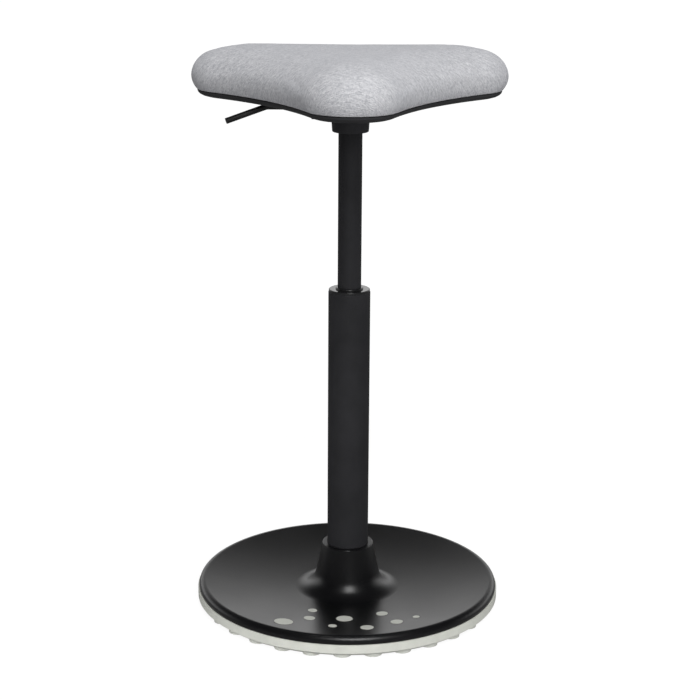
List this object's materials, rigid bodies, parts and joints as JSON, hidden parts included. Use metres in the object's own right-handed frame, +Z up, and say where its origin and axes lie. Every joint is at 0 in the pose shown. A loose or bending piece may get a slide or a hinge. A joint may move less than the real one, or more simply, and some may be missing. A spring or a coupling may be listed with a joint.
{
  "type": "perch stool",
  "caption": "Perch stool with a padded seat of rounded lobes on a gas spring column with a release lever, and a round weighted base with a studded rubber edge.",
  "frame": {"origin": "on the floor under the column axis, at the foot of the rubber knobs", "axes": "+Z up along the column, -Y towards the nose of the seat (its front), -X towards the release lever"},
  "size_m": [0.377, 0.3696, 0.6714],
  "materials": {
    "seat_fabric": "woven",
    "pad_foam": "matte",
    "plywood": "matte",
    "shell_black": "matte",
    "plate_black": "satin",
    "tube_black": "satin",
    "lever_black": "satin",
    "dish_black": "satin",
    "bush_black": "gloss",
    "sole_grey": "matte",
    "seal_black": "matte",
    "guide_plastic": "matte",
    "weight_iron": "rough",
    "zinc_steel": "zinc plated",
    "bearing_steel": "polished",
    "valve_aluminium": "machined"
  },
  "bodies": {
    "base": {"base_sole": "sole_grey", "base_weight": "weight_iron", "base_cover": "dish_black", "grip_dots": "sole_grey", "cover_screws": "zinc_steel", "standing_tube": "tube_black", "guide_bush": "bush_black", "lower_race": "bearing_steel"},
    "spindle": {"piston_rod": "bearing_steel", "piston": "valve_aluminium", "piston_ring": "seal_black", "upper_race": "bearing_steel", "rubber_bumper": "seal_black", "rod_washer": "zinc_steel", "rod_clip": "zinc_steel"},
    "bearing": {"ball_cage": "valve_aluminium", "bearing_balls": "bearing_steel"},
    "seat": {"pressure_tube": "tube_black", "inner_cylinder": "zinc_steel", "valve_body": "valve_aluminium", "rod_guide": "guide_plastic", "rod_seal": "seal_black", "guide_washer": "zinc_steel", "seat_plate": "plate_black", "plate_bolts": "zinc_steel", "plate_washers": "zinc_steel", "tee_nuts": "zinc_steel", "lever_pin": "zinc_steel", "pin_clips": "zinc_steel", "seat_board": "plywood", "seat_foam": "pad_foam", "seat_cover": "seat_fabric", "seat_shell": "shell_black", "shell_screws": "zinc_steel"},
    "lever": {"release_lever": "lever_black"},
    "valve_pin": {"release_pin": "bearing_steel"}
  },
  "joints": [
    {"name": "swivel", "type": "hinge", "parent": "base", "child": "spindle", "pos_m": [0, 0, 0.0186], "axis": [0, 0, 1], "continuous": true},
    {"name": "bearing_turn", "type": "hinge", "parent": "base", "child": "bearing", "pos_m": [0, 0, 0.0171], "axis": [0, 0, 1], "continuous": true},
    {"name": "seat_height", "type": "slide", "parent": "spindle", "child": "seat", "axis": [0, 0, 1], "range_m": [-0.181, 0]},
    {"name": "lever_lift", "type": "hinge", "parent": "seat", "child": "lever", "pos_m": [-0.036, 0, 0.608], "axis": [0, 1, 0], "range_deg": [0, 4.8], "stiffness_Nm_per_rad": 10, "springref_deg": -5.73},
    {"name": "pin_press", "type": "slide", "parent": "seat", "child": "valve_pin", "axis": [0, 0, -1], "range_m": [0, 0.0031]}
  ],
  "couplings": [
    {"joint": "bearing_turn", "follows": "swivel", "ratio": 0.5},
    {"joint": "pin_press", "follows": "lever_lift", "m_per_rad": 0.036}
  ]
}
